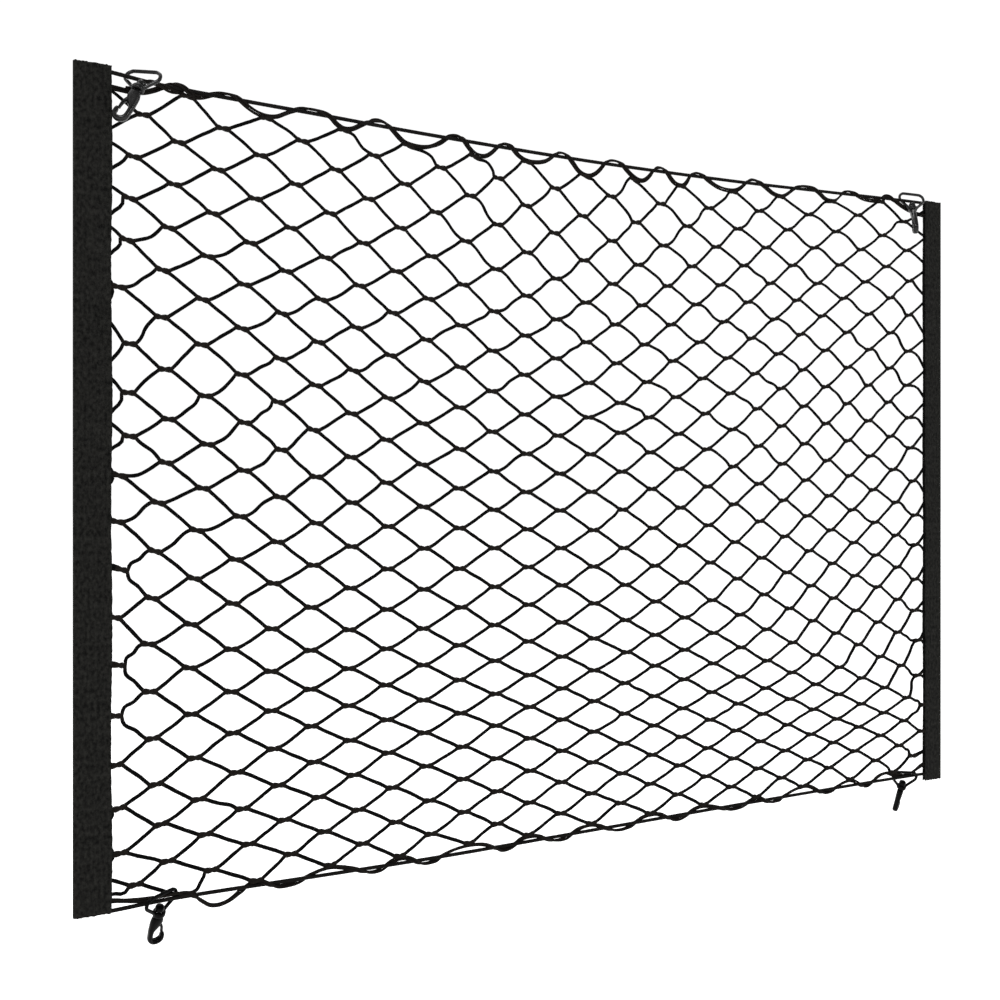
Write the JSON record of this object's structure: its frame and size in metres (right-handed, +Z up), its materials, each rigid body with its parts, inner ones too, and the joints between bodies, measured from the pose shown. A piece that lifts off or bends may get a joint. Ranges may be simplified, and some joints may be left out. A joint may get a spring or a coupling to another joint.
{
  "type": "cargo net",
  "caption": "Rectangular diamond-mesh cargo net with tape side strips, corded top and bottom edges and swivel snap hooks at the corners.",
  "frame": {"origin": "middle of the top border cord, on the net's top edge", "axes": "+X along the net from the left strip to the right one, +Z up, the net hangs in the plane Y = 0 and is seen from -Y"},
  "size_m": [0.9, 0.04, 0.6403],
  "materials": {
    "twine": "black braided knotless twine, matt",
    "cord": "black braided cord, matt with a slight sheen",
    "tape": "black woven tape, matt, slightly fuzzy",
    "plastic": "black moulded plastic, semi-gloss"
  },
  "bodies": {
    "panel": {"net": "twine", "strip_left": "tape", "strip_right": "tape", "cord_top": "cord", "cord_bottom": "cord", "eye_tl": "plastic", "eye_tr": "plastic", "eye_bl": "plastic", "eye_br": "plastic"},
    "snap_tl": {"hook_tl": "plastic"},
    "snap_tr": {"hook_tr": "plastic"},
    "snap_bl": {"hook_bl": "plastic"},
    "snap_br": {"hook_br": "plastic"}
  },
  "joints": [
    {"name": "swivel_tl", "type": "hinge", "parent": "panel", "child": "snap_tl", "pos_m": [-0.4062, -0.0068, -0.0011], "axis": [-0.5523, -0.1564, -0.8188], "continuous": true},
    {"name": "swivel_tr", "type": "hinge", "parent": "panel", "child": "snap_tr", "pos_m": [0.4044, -0.0028, 0.0024], "axis": [-0.3049, -0.4067, -0.8611], "continuous": true},
    {"name": "swivel_bl", "type": "hinge", "parent": "panel", "child": "snap_bl", "pos_m": [-0.387, 0.004, -0.593], "axis": [0.0747, 0.515, -0.8539], "continuous": true},
    {"name": "swivel_br", "type": "hinge", "parent": "panel", "child": "snap_br", "pos_m": [0.3974, 0.0056, -0.5898], "axis": [0.1869, 0.4384, -0.8792], "continuous": true}
  ]
}
